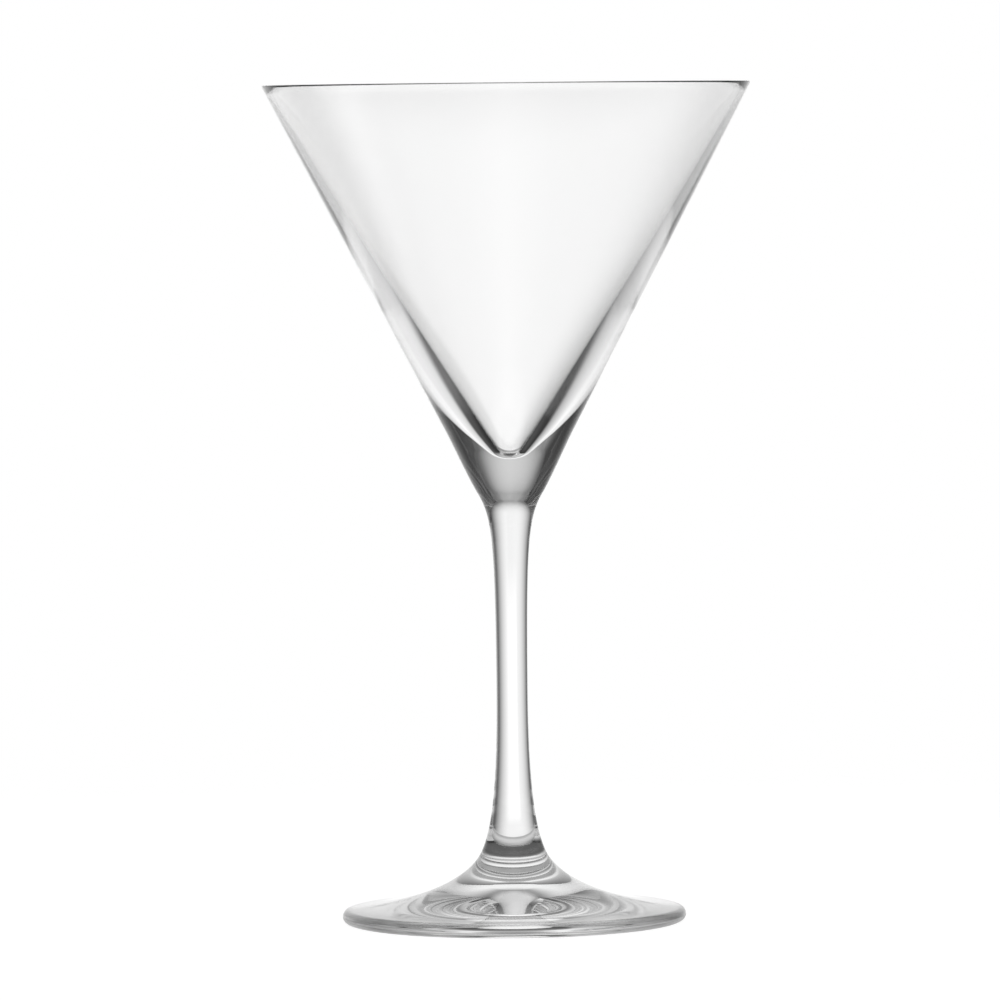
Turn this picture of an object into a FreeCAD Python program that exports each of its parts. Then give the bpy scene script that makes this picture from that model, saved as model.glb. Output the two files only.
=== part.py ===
import FreeCAD, Part

import math
import os

# A stemmed cocktail glass in millimetres, +Z up. The origin is the centre of the plane that the foot rests on.
# The glass is three gathers of solid glass, shaped one by one and fused end to end: bowl, stem and foot.
# Each piece is turned around the Z axis from a half outline in the XZ plane, where X is the radius.
# Angles of the outline are in degrees from straight up, and grow outwards: 90 points away from the axis.
# A pull is how far a smooth curve follows the direction of its end before it turns towards its other end.

# Driving dimensions of the bowl.
HEIGHT = 190.5
RIM_RADIUS = 55.3
RIM_THICKNESS = 1.2
LIP_RADIUS = 0.3
WALL_ANGLE = 27.5
CAVITY_RIM_ANGLE = 28.6
CAVITY_RIM_PULL = 47.0
CAVITY_TIP_ANGLE = 44.0
CAVITY_TIP_PULL = 2.5
CAVITY_TIP_RADIUS = 3.9
CAVITY_TIP_HEIGHT = 107.3
SHOULDER_HEIGHT = 111.5
SHOULDER_PULL = 3.0
BASE_PULL = 3.2

# Driving dimensions of the stem, between its two fused seats.
SEAT_RADIUS = 7.6
NECK_SEAT_HEIGHT = 97.9
NECK_ANGLE = 31.0
NECK_DOME = 1.2
NECK_PULL = 6.5
WAIST_HEIGHT = 52.9
WAIST_RADIUS = 3.55
WAIST_PULL_UP = 35.4
WAIST_PULL_DOWN = 17.8
FOOT_SEAT_HEIGHT = 15.5
FOOT_SEAT_ANGLE = 27.5
FOOT_SEAT_DOME = 1.8
FOOT_SEAT_PULL = 7.0

# Driving dimensions of the foot.
FOOT_RADIUS = 39.1
FLARE_PULL = 6.3
SPREAD_PULL = 15.9
SPREAD_SLOPE = 4.0
EDGE_TOP_RADIUS = 1.6
EDGE_BOTTOM_RADIUS = 1.6
REST_RING_WIDTH = 5.3
HOLLOW_EDGE_SLOPE = 1.6
HOLLOW_EDGE_PULL = 11.0
HOLLOW_MIDDLE_SLOPE = 7.7
HOLLOW_MIDDLE_PULL = 14.7
DIMPLE_RADIUS = 3.9
DIMPLE_HEIGHT = 2.1
DIMPLE_DEPTH = 0.17

UP = FreeCAD.Vector(0, 0, 1)
ORIGIN = FreeCAD.Vector(0, 0, 0)


def at(radius, height):
    """Point of a half outline."""
    return FreeCAD.Vector(radius, 0, height)


def towards(start, angle, distance):
    """Point at a distance from start, along an outline angle."""
    turn = math.radians(angle)
    return start + distance * at(math.sin(turn), math.cos(turn))


def line(start, end):
    return Part.LineSegment(start, end).toShape()


def arc(centre, radius, from_angle, to_angle):
    """Round stretch about a centre, between two outline angles."""
    ends = [towards(centre, angle, radius) for angle in (from_angle, to_angle)]
    middle = towards(centre, (from_angle + to_angle) / 2, radius)
    return Part.Arc(ends[0], middle, ends[1]).toShape()


def flow(start, start_angle, start_pull, end, end_angle, end_pull):
    """Smooth curve that leaves start along one angle, and whose end is approached from along the other."""
    curve = Part.BezierCurve()
    curve.setPoles([start, towards(start, start_angle, start_pull), towards(end, end_angle, end_pull), end])
    return curve.toShape()


def dome(radius, height, rise):
    """Spherical face from its edge to its middle on the axis, which is higher by rise."""
    sphere_radius = (radius ** 2 + rise ** 2) / (2 * rise)
    centre_height = height + rise - sphere_radius
    half_way = math.asin(radius / sphere_radius) / 2
    middle = at(sphere_radius * math.sin(half_way), centre_height + sphere_radius * math.cos(half_way))
    return Part.Arc(at(radius, height), middle, at(0, height + rise)).toShape()


def turned(edges):
    """Solid turned around the axis from the closed half outline that the edges make, in order."""
    outline = Part.Wire(edges)
    return Part.Face(outline).revolve(ORIGIN, UP, 360)


def bowl():
    """Conical cup: a flat lip with rounded edges, a thin wall, and a solid base down to the neck seat."""
    outer_lip = at(RIM_RADIUS - LIP_RADIUS, HEIGHT - LIP_RADIUS)
    inner_lip = at(RIM_RADIUS - RIM_THICKNESS + LIP_RADIUS, HEIGHT - LIP_RADIUS)
    outer_top = towards(outer_lip, 90 + WALL_ANGLE, LIP_RADIUS)
    inner_top = towards(inner_lip, CAVITY_RIM_ANGLE - 90, LIP_RADIUS)
    wall_length = (outer_top.z - SHOULDER_HEIGHT) / math.cos(math.radians(WALL_ANGLE))
    shoulder = towards(outer_top, WALL_ANGLE + 180, wall_length)
    neck = at(SEAT_RADIUS, NECK_SEAT_HEIGHT)
    tip_ball = at(0, CAVITY_TIP_HEIGHT + CAVITY_TIP_RADIUS)
    tip_edge = towards(tip_ball, 90 + CAVITY_TIP_ANGLE, CAVITY_TIP_RADIUS)
    return turned([
        arc(tip_ball, CAVITY_TIP_RADIUS, 180, 90 + CAVITY_TIP_ANGLE),
        flow(tip_edge, CAVITY_TIP_ANGLE, CAVITY_TIP_PULL, inner_top, CAVITY_RIM_ANGLE + 180, CAVITY_RIM_PULL),
        arc(inner_lip, LIP_RADIUS, CAVITY_RIM_ANGLE - 90, 0),
        line(at(inner_lip.x, HEIGHT), at(outer_lip.x, HEIGHT)),
        arc(outer_lip, LIP_RADIUS, 0, 90 + WALL_ANGLE),
        line(outer_top, shoulder),
        flow(shoulder, WALL_ANGLE + 180, SHOULDER_PULL, neck, NECK_ANGLE, BASE_PULL),
        dome(SEAT_RADIUS, NECK_SEAT_HEIGHT, NECK_DOME),
        line(at(0, NECK_SEAT_HEIGHT + NECK_DOME), at(0, CAVITY_TIP_HEIGHT)),
    ])


def stem():
    """Solid stem: domed at both ends, narrowest at the waist."""
    neck = at(SEAT_RADIUS, NECK_SEAT_HEIGHT)
    waist = at(WAIST_RADIUS, WAIST_HEIGHT)
    lower_end = at(SEAT_RADIUS, FOOT_SEAT_HEIGHT)
    return turned([
        flow(neck, NECK_ANGLE + 180, NECK_PULL, waist, 0, WAIST_PULL_UP),
        flow(waist, 180, WAIST_PULL_DOWN, lower_end, -FOOT_SEAT_ANGLE, FOOT_SEAT_PULL),
        dome(SEAT_RADIUS, FOOT_SEAT_HEIGHT, -FOOT_SEAT_DOME),
        line(at(0, FOOT_SEAT_HEIGHT - FOOT_SEAT_DOME), at(0, NECK_SEAT_HEIGHT + NECK_DOME)),
        dome(SEAT_RADIUS, NECK_SEAT_HEIGHT, NECK_DOME),
    ])


def foot():
    """Round spread foot: it rests on a flat ring inside its rounded edge, and is hollow under the middle."""
    seat = at(SEAT_RADIUS, FOOT_SEAT_HEIGHT)
    edge_top = at(FOOT_RADIUS - EDGE_TOP_RADIUS, EDGE_BOTTOM_RADIUS)
    edge_bottom = at(FOOT_RADIUS - EDGE_BOTTOM_RADIUS, EDGE_BOTTOM_RADIUS)
    spread = towards(edge_top, SPREAD_SLOPE, EDGE_TOP_RADIUS)
    ring_outside = at(edge_bottom.x, 0)
    ring_inside = at(edge_bottom.x - REST_RING_WIDTH, 0)
    dimple = at(DIMPLE_RADIUS, DIMPLE_HEIGHT)
    return turned([
        flow(seat, 180 - FOOT_SEAT_ANGLE, FLARE_PULL, spread, SPREAD_SLOPE - 90, SPREAD_PULL),
        arc(edge_top, EDGE_TOP_RADIUS, SPREAD_SLOPE, 90),
        arc(edge_bottom, EDGE_BOTTOM_RADIUS, 90, 180),
        line(ring_outside, ring_inside),
        flow(ring_inside, HOLLOW_EDGE_SLOPE - 90, HOLLOW_EDGE_PULL,
             dimple, 90 + HOLLOW_MIDDLE_SLOPE, HOLLOW_MIDDLE_PULL),
        dome(DIMPLE_RADIUS, DIMPLE_HEIGHT, DIMPLE_DEPTH),
        line(at(0, DIMPLE_HEIGHT + DIMPLE_DEPTH), at(0, FOOT_SEAT_HEIGHT - FOOT_SEAT_DOME)),
        dome(SEAT_RADIUS, FOOT_SEAT_HEIGHT, -FOOT_SEAT_DOME),
    ])


PIECES = {"bowl": bowl, "stem": stem, "foot": foot}

os.makedirs("parts", exist_ok=True)
for name, make in PIECES.items():
    make().exportStep(f"parts/{name}.step")
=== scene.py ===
import math

import bpy
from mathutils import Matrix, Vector


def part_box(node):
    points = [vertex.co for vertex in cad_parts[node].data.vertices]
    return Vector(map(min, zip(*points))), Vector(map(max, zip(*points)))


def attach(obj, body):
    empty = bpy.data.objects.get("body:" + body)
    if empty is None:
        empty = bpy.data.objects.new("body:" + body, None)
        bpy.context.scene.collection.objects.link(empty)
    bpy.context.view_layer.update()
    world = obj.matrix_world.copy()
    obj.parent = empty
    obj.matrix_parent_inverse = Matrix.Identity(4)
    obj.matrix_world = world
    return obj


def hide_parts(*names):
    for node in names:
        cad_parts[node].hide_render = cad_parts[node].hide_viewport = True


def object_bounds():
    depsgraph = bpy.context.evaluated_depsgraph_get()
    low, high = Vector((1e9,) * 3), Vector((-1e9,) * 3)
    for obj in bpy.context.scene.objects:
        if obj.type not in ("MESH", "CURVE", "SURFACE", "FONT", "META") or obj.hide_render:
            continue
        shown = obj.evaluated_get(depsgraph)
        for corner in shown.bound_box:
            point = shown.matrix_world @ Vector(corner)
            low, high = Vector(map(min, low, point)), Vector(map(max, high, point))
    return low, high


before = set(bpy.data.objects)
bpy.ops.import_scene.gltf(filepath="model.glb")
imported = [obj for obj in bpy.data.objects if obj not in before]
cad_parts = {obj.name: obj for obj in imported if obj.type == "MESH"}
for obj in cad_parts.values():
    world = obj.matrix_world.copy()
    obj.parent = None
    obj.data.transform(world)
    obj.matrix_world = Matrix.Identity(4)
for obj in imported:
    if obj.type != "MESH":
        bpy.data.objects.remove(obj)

# A clear stemmed cocktail glass on a pale floor. Metres, +Z up, the frame of the CAD model.
# The three pieces of glass are turned around the Z axis as fine smooth meshes, from the same half
# outlines as the CAD nodes that they replace. The outer sizes and the seats come from the CAD nodes,
# and the rest of each outline is named here.
# Angles of an outline are in degrees from straight up, and grow outwards: 90 points away from the axis.
# A pull is how far a smooth curve follows the direction of its end before it turns to its other end.

cad_low, cad_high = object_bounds()

MM = 0.001
WHITE = (1, 1, 1, 1)

# Outer sizes and the two fused seats, from the frame.
HEIGHT = cad_high.z
RIM_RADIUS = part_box("bowl")[1].x
FOOT_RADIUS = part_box("foot")[1].x
NECK_SEAT_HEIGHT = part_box("bowl")[0].z
NECK_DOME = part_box("stem")[1].z - NECK_SEAT_HEIGHT
FOOT_SEAT_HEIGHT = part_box("foot")[1].z
FOOT_SEAT_DOME = FOOT_SEAT_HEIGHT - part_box("stem")[0].z

# Bowl.
WALL_ANGLE = 27.5
RIM_THICKNESS = 1.2 * MM
LIP_RADIUS = 0.3 * MM
CAVITY_RIM_ANGLE = 28.6
CAVITY_RIM_PULL = 47.0 * MM
CAVITY_TIP_ANGLE = 44.0
CAVITY_TIP_PULL = 2.5 * MM
CAVITY_TIP_RADIUS = 3.9 * MM
CAVITY_TIP_HEIGHT = 107.3 * MM
SHOULDER_HEIGHT = 111.5 * MM
SHOULDER_PULL = 3.0 * MM
BASE_PULL = 3.2 * MM

# Stem.
SEAT_RADIUS = 7.6 * MM
NECK_ANGLE = 31.0
NECK_PULL = 6.5 * MM
WAIST_HEIGHT = 52.9 * MM
WAIST_RADIUS = 3.55 * MM
WAIST_PULL_UP = 35.4 * MM
WAIST_PULL_DOWN = 17.8 * MM
FOOT_SEAT_ANGLE = 27.5
FOOT_SEAT_PULL = 7.0 * MM

# Foot.
FLARE_PULL = 6.3 * MM
SPREAD_PULL = 15.9 * MM
SPREAD_SLOPE = 4.0
EDGE_TOP_RADIUS = 1.6 * MM
EDGE_BOTTOM_RADIUS = 1.6 * MM
REST_RING_WIDTH = 5.3 * MM
HOLLOW_EDGE_SLOPE = 1.6
HOLLOW_EDGE_PULL = 11.0 * MM
HOLLOW_MIDDLE_SLOPE = 7.7
HOLLOW_MIDDLE_PULL = 14.7 * MM
DIMPLE_RADIUS = 3.9 * MM
DIMPLE_HEIGHT = 2.1 * MM
DIMPLE_DEPTH = 0.17 * MM

# Fineness of the turned meshes, and the angle in degrees from which an edge looks sharp.
SEGMENTS = 384
LINE_STEPS = 40
FLAT_STEPS = 4
FLOW_STEPS = 80
ARC_STEPS = 16
OUTER_LIP_STEPS = 12
INNER_LIP_STEPS = 8
DOME_STEPS = 12
SHARP_ANGLE = 35


# --- Outline helpers ------------------------------------------------------------------------------

def at(radius, height):
    """Point of a half outline."""
    return Vector((radius, height))


def towards(start, angle, distance):
    """Point at a distance from start, along an outline angle."""
    turn = math.radians(angle)
    return start + distance * at(math.sin(turn), math.cos(turn))


def line(start, end, steps=LINE_STEPS):
    return [start.lerp(end, i / steps) for i in range(steps + 1)]


def arc(centre, radius, from_angle, to_angle, steps=ARC_STEPS):
    """Round stretch about a centre, between two outline angles."""
    turns = [from_angle + (to_angle - from_angle) * i / steps for i in range(steps + 1)]
    return [towards(centre, turn, radius) for turn in turns]


def flow(start, start_angle, start_pull, end, end_angle, end_pull, steps=FLOW_STEPS):
    """Smooth curve that leaves start along one angle, and whose end is approached from along the other."""
    a = towards(start, start_angle, start_pull)
    b = towards(end, end_angle, end_pull)
    points = []
    for i in range(steps + 1):
        t = i / steps
        s = 1 - t
        points.append(start * s ** 3 + a * 3 * s * s * t + b * 3 * s * t * t + end * t ** 3)
    return points


def dome(radius, height, rise, steps=DOME_STEPS):
    """Spherical face from its edge to its middle on the axis, which is higher by rise."""
    sphere_radius = (radius ** 2 + rise ** 2) / (2 * rise)
    centre = at(0, height + rise - sphere_radius)
    edge_turn = math.asin(radius / sphere_radius)
    turns = [edge_turn * (1 - i / steps) for i in range(steps + 1)]
    return [centre + sphere_radius * at(math.sin(turn), math.cos(turn)) for turn in turns]


def turned(name, stretches, materials):
    """Closed mesh turned around the Z axis. Each stretch of the half outline is (points, material number).
    The first point and the last are on the axis, and the inside of the glass is on the outline's right."""
    points = []
    slots = []
    for stretch, slot in stretches:
        for point in stretch[1:] if points else stretch:
            points.append(point)
        slots += [slot] * (len(stretch) - 1)
    rings = len(points) - 2
    verts = [(0, 0, points[0].y)]
    for point in points[1:-1]:
        for k in range(SEGMENTS):
            turn = math.tau * k / SEGMENTS
            verts.append((point.x * math.cos(turn), point.x * math.sin(turn), point.y))
    verts.append((0, 0, points[-1].y))
    last = len(verts) - 1
    faces = []
    face_slots = []

    def vert(ring, k):
        return 1 + ring * SEGMENTS + k % SEGMENTS

    for k in range(SEGMENTS):
        faces.append((0, vert(0, k), vert(0, k + 1)))
        face_slots.append(slots[0])
    for ring in range(rings - 1):
        for k in range(SEGMENTS):
            faces.append((vert(ring, k), vert(ring + 1, k), vert(ring + 1, k + 1), vert(ring, k + 1)))
            face_slots.append(slots[ring + 1])
    for k in range(SEGMENTS):
        faces.append((vert(rings - 1, k), last, vert(rings - 1, k + 1)))
        face_slots.append(slots[-1])
    mesh = bpy.data.meshes.new(name)
    mesh.from_pydata(verts, [], faces)
    for material in materials:
        mesh.materials.append(material)
    mesh.polygons.foreach_set("material_index", face_slots)
    mesh.update()
    mesh.shade_smooth()
    mesh.set_sharp_from_angle(angle=math.radians(SHARP_ANGLE))
    piece = bpy.data.objects.new(name, mesh)
    bpy.context.scene.collection.objects.link(piece)
    return piece


# --- Node helpers ---------------------------------------------------------------------------------

def calc(tree, operation, *values):
    """Math node of numbers and sockets."""
    node = tree.nodes.new("ShaderNodeMath")
    node.operation = operation
    for socket, value in zip(node.inputs, values):
        if isinstance(value, bpy.types.NodeSocket):
            tree.links.new(value, socket)
        else:
            socket.default_value = value
    return node.outputs[0]


def soft_step(tree, value, start, end):
    """Eases from 0 where value is at start to 1 where it is at end."""
    node = tree.nodes.new("ShaderNodeMapRange")
    node.interpolation_type = "SMOOTHSTEP"
    node.inputs["From Min"].default_value = start
    node.inputs["From Max"].default_value = end
    tree.links.new(value, node.inputs["Value"])
    return node.outputs["Result"]


# --- Materials ------------------------------------------------------------------------------------

# How strongly the glass bends light, how close its waves are (per metre) and how high, and how high above
# the table and how rough the scuffs are.
REFRACTIVE_INDEX = 1.5
WAVE_SCALE = 110
WAVE_HEIGHT = 0.002 * MM
WEAR_HEIGHT = 0.05 * MM
WEAR_ROUGHNESS = 0.12


def clear_glass():
    """Colourless glass, very slightly wavy because it was shaped hot, and a little dull where it rests."""
    material = bpy.data.materials.new("clear_glass")
    material.use_nodes = True
    tree = material.node_tree
    nodes = tree.nodes
    shader = nodes["Principled BSDF"]
    shader.inputs["Base Color"].default_value = WHITE
    shader.inputs["Transmission Weight"].default_value = 1
    shader.inputs["IOR"].default_value = REFRACTIVE_INDEX
    place = nodes.new("ShaderNodeTexCoord")
    waves = nodes.new("ShaderNodeTexNoise")
    waves.inputs["Scale"].default_value = WAVE_SCALE
    waves.inputs["Detail"].default_value = 1
    tree.links.new(place.outputs["Object"], waves.inputs["Vector"])
    bump = nodes.new("ShaderNodeBump")
    bump.inputs["Strength"].default_value = 1
    bump.inputs["Distance"].default_value = WAVE_HEIGHT
    tree.links.new(waves.outputs[0], bump.inputs["Height"])
    tree.links.new(bump.outputs["Normal"], shader.inputs["Normal"])
    axes = nodes.new("ShaderNodeSeparateXYZ")
    tree.links.new(place.outputs["Object"], axes.inputs[0])
    wear = soft_step(tree, axes.outputs["Z"], WEAR_HEIGHT, 0)
    tree.links.new(calc(tree, "MULTIPLY", wear, WEAR_ROUGHNESS), shader.inputs["Roughness"])
    return material


def fused_seat():
    """Where two pieces of glass are melted together there is no surface to see."""
    material = bpy.data.materials.new("fused_seat")
    material.use_nodes = True
    nodes = material.node_tree.nodes
    nodes.clear()
    clear = nodes.new("ShaderNodeBsdfTransparent")
    output = nodes.new("ShaderNodeOutputMaterial")
    material.node_tree.links.new(clear.outputs[0], output.inputs[0])
    return material


# --- Pieces ---------------------------------------------------------------------------------------

# Numbers of the two materials of every piece.
GLASS = 0
SEAT = 1


def bowl_outline():
    """From the tip of the cavity up its wall, over the lip, and down the outside to the neck seat."""
    outer_lip = at(RIM_RADIUS - LIP_RADIUS, HEIGHT - LIP_RADIUS)
    inner_lip = outer_lip - at(RIM_THICKNESS - 2 * LIP_RADIUS, 0)
    outer_top = towards(outer_lip, 90 + WALL_ANGLE, LIP_RADIUS)
    inner_top = towards(inner_lip, CAVITY_RIM_ANGLE - 90, LIP_RADIUS)
    wall_length = (outer_top.y - SHOULDER_HEIGHT) / math.cos(math.radians(WALL_ANGLE))
    shoulder = towards(outer_top, WALL_ANGLE + 180, wall_length)
    neck = at(SEAT_RADIUS, NECK_SEAT_HEIGHT)
    ball = at(0, CAVITY_TIP_HEIGHT + CAVITY_TIP_RADIUS)
    ball_edge = towards(ball, 90 + CAVITY_TIP_ANGLE, CAVITY_TIP_RADIUS)
    return [
        (arc(ball, CAVITY_TIP_RADIUS, 180, 90 + CAVITY_TIP_ANGLE), GLASS),
        (flow(ball_edge, CAVITY_TIP_ANGLE, CAVITY_TIP_PULL,
              inner_top, CAVITY_RIM_ANGLE + 180, CAVITY_RIM_PULL), GLASS),
        (arc(inner_lip, LIP_RADIUS, CAVITY_RIM_ANGLE - 90, 0, INNER_LIP_STEPS), GLASS),
        (line(at(inner_lip.x, HEIGHT), at(outer_lip.x, HEIGHT), FLAT_STEPS), GLASS),
        (arc(outer_lip, LIP_RADIUS, 0, 90 + WALL_ANGLE, OUTER_LIP_STEPS), GLASS),
        (line(outer_top, shoulder), GLASS),
        (flow(shoulder, WALL_ANGLE + 180, SHOULDER_PULL, neck, NECK_ANGLE, BASE_PULL), GLASS),
        (dome(SEAT_RADIUS, NECK_SEAT_HEIGHT, NECK_DOME), SEAT),
    ]


def stem_outline():
    """From the neck seat down past the waist to the foot seat."""
    neck = at(SEAT_RADIUS, NECK_SEAT_HEIGHT)
    waist = at(WAIST_RADIUS, WAIST_HEIGHT)
    lower_end = at(SEAT_RADIUS, FOOT_SEAT_HEIGHT)
    return [
        (dome(SEAT_RADIUS, NECK_SEAT_HEIGHT, NECK_DOME)[::-1], SEAT),
        (flow(neck, NECK_ANGLE + 180, NECK_PULL, waist, 0, WAIST_PULL_UP), GLASS),
        (flow(waist, 180, WAIST_PULL_DOWN, lower_end, -FOOT_SEAT_ANGLE, FOOT_SEAT_PULL), GLASS),
        (dome(SEAT_RADIUS, FOOT_SEAT_HEIGHT, -FOOT_SEAT_DOME), SEAT),
    ]


def foot_outline():
    """From the foot seat out over the flare, round the edge, and back along the hollow underside."""
    seat = at(SEAT_RADIUS, FOOT_SEAT_HEIGHT)
    edge_top = at(FOOT_RADIUS - EDGE_TOP_RADIUS, EDGE_BOTTOM_RADIUS)
    edge_bottom = at(FOOT_RADIUS - EDGE_BOTTOM_RADIUS, EDGE_BOTTOM_RADIUS)
    spread = towards(edge_top, SPREAD_SLOPE, EDGE_TOP_RADIUS)
    ring_outside = at(edge_bottom.x, 0)
    ring_inside = at(edge_bottom.x - REST_RING_WIDTH, 0)
    dimple_edge = at(DIMPLE_RADIUS, DIMPLE_HEIGHT)
    return [
        (dome(SEAT_RADIUS, FOOT_SEAT_HEIGHT, -FOOT_SEAT_DOME)[::-1], SEAT),
        (flow(seat, 180 - FOOT_SEAT_ANGLE, FLARE_PULL, spread, SPREAD_SLOPE - 90, SPREAD_PULL), GLASS),
        (arc(edge_top, EDGE_TOP_RADIUS, SPREAD_SLOPE, 90), GLASS),
        (arc(edge_bottom, EDGE_BOTTOM_RADIUS, 90, 180), GLASS),
        (line(ring_outside, ring_inside, FLAT_STEPS), GLASS),
        (flow(ring_inside, HOLLOW_EDGE_SLOPE - 90, HOLLOW_EDGE_PULL,
              dimple_edge, 90 + HOLLOW_MIDDLE_SLOPE, HOLLOW_MIDDLE_PULL), GLASS),
        (dome(DIMPLE_RADIUS, DIMPLE_HEIGHT, DIMPLE_DEPTH), GLASS),
    ]


OUTLINES = {"bowl": bowl_outline, "stem": stem_outline, "foot": foot_outline}

materials = [clear_glass(), fused_seat()]
for node, outline in OUTLINES.items():
    piece = turned(node + "_glass", outline(), materials)
    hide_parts(node)
    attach(piece, "root")


# --- Floor ----------------------------------------------------------------------------------------

# The floor is solid near the glass and fades out towards its edge. It lies a hair below the resting ring.
FLOOR_RADIUS = 400 * MM
FLOOR_SOLID_RADIUS = 90 * MM
FLOOR_GAP = 0.02 * MM
FLOOR_COLOUR = (0.6, 0.6, 0.6, 1)
FLOOR_GLOW = 0.9

# The patch of floor under the foot, as it shows through the glass, is painted light and shade: painted shade
# dims the middle, where the stem and the bowl shade it, painted light makes it lighter towards the resting
# ring, and it is dimmer again under the foot's edge.
PAINTED_PATCH_RADIUS = 45 * MM
PAINTED_SHADE_LEVEL = 0.11
PAINTED_LIGHT_LEVEL = 0.63
PAINTED_EDGE_LEVEL = 0.37
PATCH_MIDDLE = 16 * MM
PATCH_FULL = 32 * MM
PATCH_EDGE = 33 * MM
PATCH_END = 38 * MM

# Straight down through the foot, without a reflection inside it, the floor outside the stem's painted shade
# is painted lighter. A ray of light that has met fewer surfaces than this depth has come straight through.
SHADE_START = 12 * MM
SHADE_END = 20 * MM
PAINTED_STRAIGHT_LIGHT_LEVEL = 0.8
STRAIGHT_DEPTH = 2.5


def pale_floor():
    """White table, which fades into the white studio around it. Light reaches the glass from the panels of
    the studio on every side, so through the glass only the patch under the foot shows, and that patch glows
    with painted shade and painted light."""
    material = bpy.data.materials.new("pale_floor")
    material.use_nodes = True
    tree = material.node_tree
    nodes = tree.nodes
    nodes.clear()
    place = nodes.new("ShaderNodeNewGeometry")
    length = nodes.new("ShaderNodeVectorMath")
    length.operation = "LENGTH"
    tree.links.new(place.outputs["Position"], length.inputs[0])
    distance = length.outputs["Value"]
    path = nodes.new("ShaderNodeLightPath")
    seen_directly = path.outputs["Is Camera Ray"]

    matt = nodes.new("ShaderNodeBsdfDiffuse")
    matt.inputs["Color"].default_value = FLOOR_COLOUR
    glow = nodes.new("ShaderNodeEmission")
    glow.inputs["Strength"].default_value = FLOOR_GLOW
    table = nodes.new("ShaderNodeAddShader")
    tree.links.new(matt.outputs[0], table.inputs[0])
    tree.links.new(glow.outputs[0], table.inputs[1])

    # Painted shade in the middle of the patch, rising to painted light towards the resting ring, then dimmer
    # under the foot's edge.
    rise = calc(tree, "MULTIPLY_ADD", soft_step(tree, distance, PATCH_MIDDLE, PATCH_FULL),
                PAINTED_LIGHT_LEVEL - PAINTED_SHADE_LEVEL, PAINTED_SHADE_LEVEL)
    level = calc(tree, "MULTIPLY_ADD", soft_step(tree, distance, PATCH_EDGE, PATCH_END),
                 PAINTED_EDGE_LEVEL - PAINTED_LIGHT_LEVEL, rise)
    # Painted light for rays straight down through the foot, outside the painted shade under the stem.
    white = calc(tree, "MULTIPLY_ADD", soft_step(tree, distance, SHADE_START, SHADE_END),
                 PAINTED_STRAIGHT_LIGHT_LEVEL - PAINTED_SHADE_LEVEL, PAINTED_SHADE_LEVEL)
    straight = calc(tree, "LESS_THAN", path.outputs["Ray Depth"], STRAIGHT_DEPTH)
    level = calc(tree, "MULTIPLY_ADD", calc(tree, "SUBTRACT", white, level), straight, level)
    # The patch glows with this painted shade and light for rays that reach it through the glass.
    patch = nodes.new("ShaderNodeEmission")
    tree.links.new(level, patch.inputs["Strength"])

    surface = nodes.new("ShaderNodeMixShader")
    tree.links.new(seen_directly, surface.inputs[0])
    tree.links.new(patch.outputs[0], surface.inputs[1])
    tree.links.new(table.outputs[0], surface.inputs[2])

    fade = calc(tree, "MULTIPLY", soft_step(tree, distance, FLOOR_RADIUS, FLOOR_SOLID_RADIUS), seen_directly)
    in_painted_patch = calc(tree, "LESS_THAN", distance, PAINTED_PATCH_RADIUS)
    there = calc(tree, "MAXIMUM", fade, in_painted_patch)
    gone = nodes.new("ShaderNodeBsdfTransparent")
    cover = nodes.new("ShaderNodeMixShader")
    tree.links.new(there, cover.inputs[0])
    tree.links.new(gone.outputs[0], cover.inputs[1])
    tree.links.new(surface.outputs[0], cover.inputs[2])
    output = nodes.new("ShaderNodeOutputMaterial")
    tree.links.new(cover.outputs[0], output.inputs[0])
    return material


def floor():
    """Round sheet under the glass."""
    turns = [math.tau * k / SEGMENTS for k in range(SEGMENTS)]
    edge = [(FLOOR_RADIUS * math.cos(turn), FLOOR_RADIUS * math.sin(turn), 0) for turn in turns]
    mesh = bpy.data.meshes.new("floor")
    mesh.from_pydata(edge, [], [tuple(range(SEGMENTS))])
    mesh.materials.append(pale_floor())
    table = bpy.data.objects.new("floor", mesh)
    table.location.z = -FLOOR_GAP
    bpy.context.scene.collection.objects.link(table)


floor()

# --- Studio light ---------------------------------------------------------------------------------

# Large soft panels around the glass. Their places are angles seen from the glass, in degrees to the right
# of the camera's view and above it. Each side is (angle, how soft it is); level is its brightness.
PANELS = {
    "backdrop": {"left": (-39, 28), "right": (29, 24), "bottom": (-30, 4), "top": (37, 19), "level": 0.92},
    "horizon": {"left": (-13, 3), "right": (11, 7), "bottom": (-14, 2), "top": (1, 2), "level": 0.14},
    "left_wing": {"left": (-160, 5), "right": (-73, 19), "bottom": (-41, 4), "top": (3, 24), "level": 0.97},
    "right_wing": {"left": (60, 20), "right": (165, 12), "bottom": (-40, 25), "top": (18, 2), "level": 0.53},
    "overhead": {"left": (-90, 22), "right": (73, 87), "bottom": (50, 9), "top": (200, 1), "level": 0.66},
    "table": {"left": (-25, 30), "right": (30, 4), "bottom": (-70, 13), "top": (-35, 10), "level": 0.62},
}

# The studio is dim between the panels, and lighter behind the camera, past an angle to either side.
DIM_LEVEL = 0.034
BACK_START = 121
BACK_END = 201
BACK_LEVEL = 0.29


def panel_light(tree, azimuth, elevation, panel):
    """Light that reaches the glass from one panel, with a soft step at each of its four sides."""
    light = panel["level"]
    for value, side, sense in (
        (azimuth, "left", 1), (azimuth, "right", -1), (elevation, "bottom", 1), (elevation, "top", -1),
    ):
        angle, softness = panel[side]
        edge = soft_step(tree, value, angle - sense * softness, angle + sense * softness)
        light = calc(tree, "MULTIPLY", edge, light)
    return light


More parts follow.
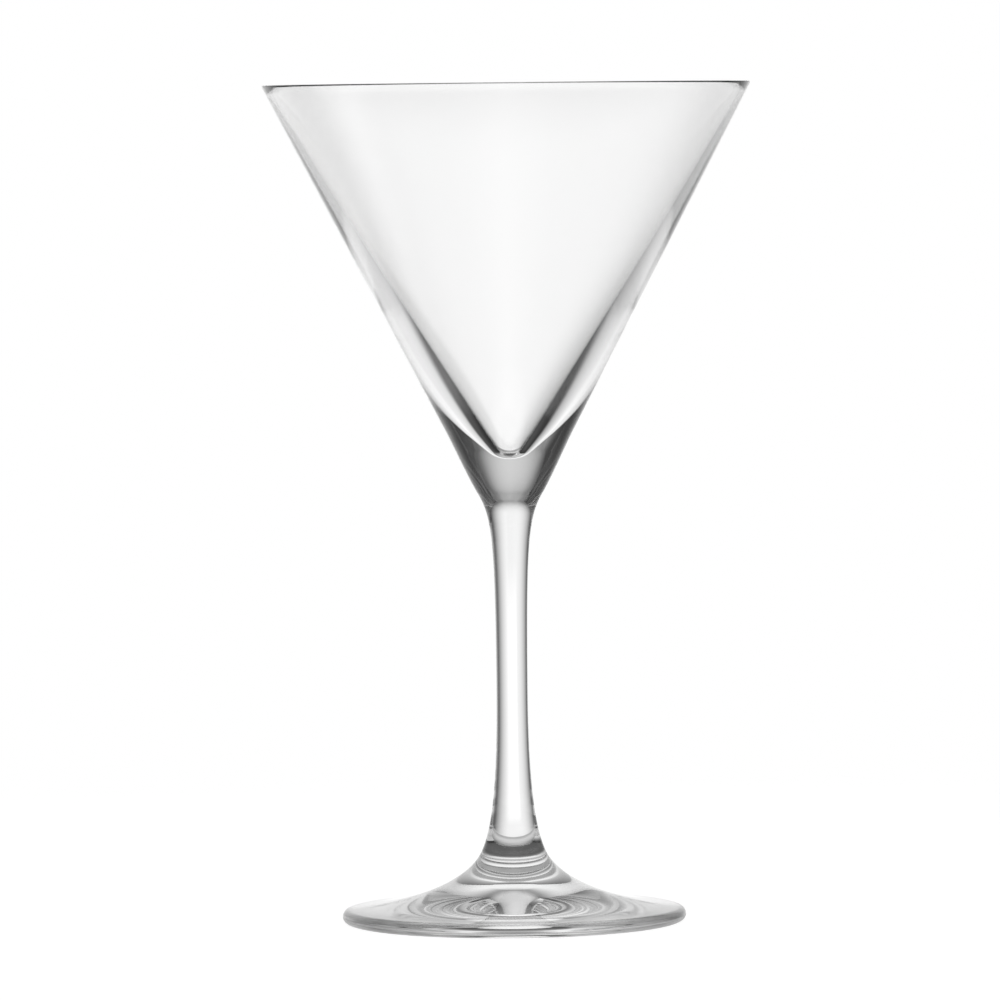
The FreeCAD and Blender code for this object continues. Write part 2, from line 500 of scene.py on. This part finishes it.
def studio_world():
    """White surroundings for the camera. The panels, which follow it, light the glass and the floor."""
    world = bpy.data.worlds.new("studio")
    bpy.context.scene.world = world
    world.use_nodes = True
    tree = world.node_tree
    nodes = tree.nodes
    nodes.clear()
    view = nodes.new("ShaderNodeTexCoord")
    axes = nodes.new("ShaderNodeSeparateXYZ")
    tree.links.new(view.outputs["Camera"], axes.inputs[0])
    right, up, ahead = axes.outputs
    azimuth = calc(tree, "DEGREES", calc(tree, "ARCTAN2", right, ahead))
    elevation = calc(tree, "DEGREES", calc(tree, "ARCSINE", up))
    behind_camera = soft_step(tree, calc(tree, "ABSOLUTE", azimuth), BACK_START, BACK_END)
    light = calc(tree, "MULTIPLY_ADD", behind_camera, BACK_LEVEL, DIM_LEVEL)
    for panel in PANELS.values():
        light = calc(tree, "ADD", panel_light(tree, azimuth, elevation, panel), light)
    lit = nodes.new("ShaderNodeBackground")
    lit.inputs["Color"].default_value = WHITE
    tree.links.new(light, lit.inputs["Strength"])
    seen = nodes.new("ShaderNodeBackground")
    seen.inputs["Color"].default_value = WHITE
    path = nodes.new("ShaderNodeLightPath")
    mix = nodes.new("ShaderNodeMixShader")
    output = nodes.new("ShaderNodeOutputWorld")
    tree.links.new(path.outputs["Is Camera Ray"], mix.inputs[0])
    tree.links.new(lit.outputs[0], mix.inputs[1])
    tree.links.new(seen.outputs[0], mix.inputs[2])
    tree.links.new(mix.outputs[0], output.inputs[0])


studio_world()

# --- Camera ---------------------------------------------------------------------------------------

# The camera stands far in front, just below the height of the rim, and looks at half the glass's height.
# EYE_BELOW_RIM and ROLL are in degrees, and PICTURE_WIDTH is the width that it sees at the glass.
DISTANCE = 1.8
EYE_BELOW_RIM = 0.19
PICTURE_WIDTH = 227.0 * MM
SIDE_SHIFT = -2.3 * MM
AIM_HEIGHT = 96.0 * MM
ROLL = -0.6
SENSOR_WIDTH = 36
NEAREST = 0.1
FARTHEST = 50

# Light is reflected many times inside the foot before it leaves.
LIGHT_BOUNCES = 32


def add_camera():
    data = bpy.data.cameras.new("camera")
    camera = bpy.data.objects.new("camera", data)
    bpy.context.scene.collection.objects.link(camera)
    bpy.context.scene.camera = camera
    eye_height = HEIGHT - DISTANCE * math.tan(math.radians(EYE_BELOW_RIM))
    eye = Vector((SIDE_SHIFT, -DISTANCE, eye_height))
    aim = Vector((SIDE_SHIFT, 0, AIM_HEIGHT))
    camera.location = eye
    camera.rotation_euler = (aim - eye).to_track_quat("-Z", "Y").to_euler()
    camera.rotation_euler.rotate_axis("Z", math.radians(ROLL))
    data.sensor_width = SENSOR_WIDTH
    data.lens = SENSOR_WIDTH * (aim - eye).length / PICTURE_WIDTH
    data.clip_start = NEAREST
    data.clip_end = FARTHEST


def set_light_paths():
    scene = bpy.context.scene
    scene.view_settings.view_transform = "Standard"
    scene.cycles.max_bounces = LIGHT_BOUNCES
    scene.cycles.glossy_bounces = LIGHT_BOUNCES
    scene.cycles.transmission_bounces = LIGHT_BOUNCES
    scene.cycles.transparent_max_bounces = LIGHT_BOUNCES


add_camera()
set_light_paths()
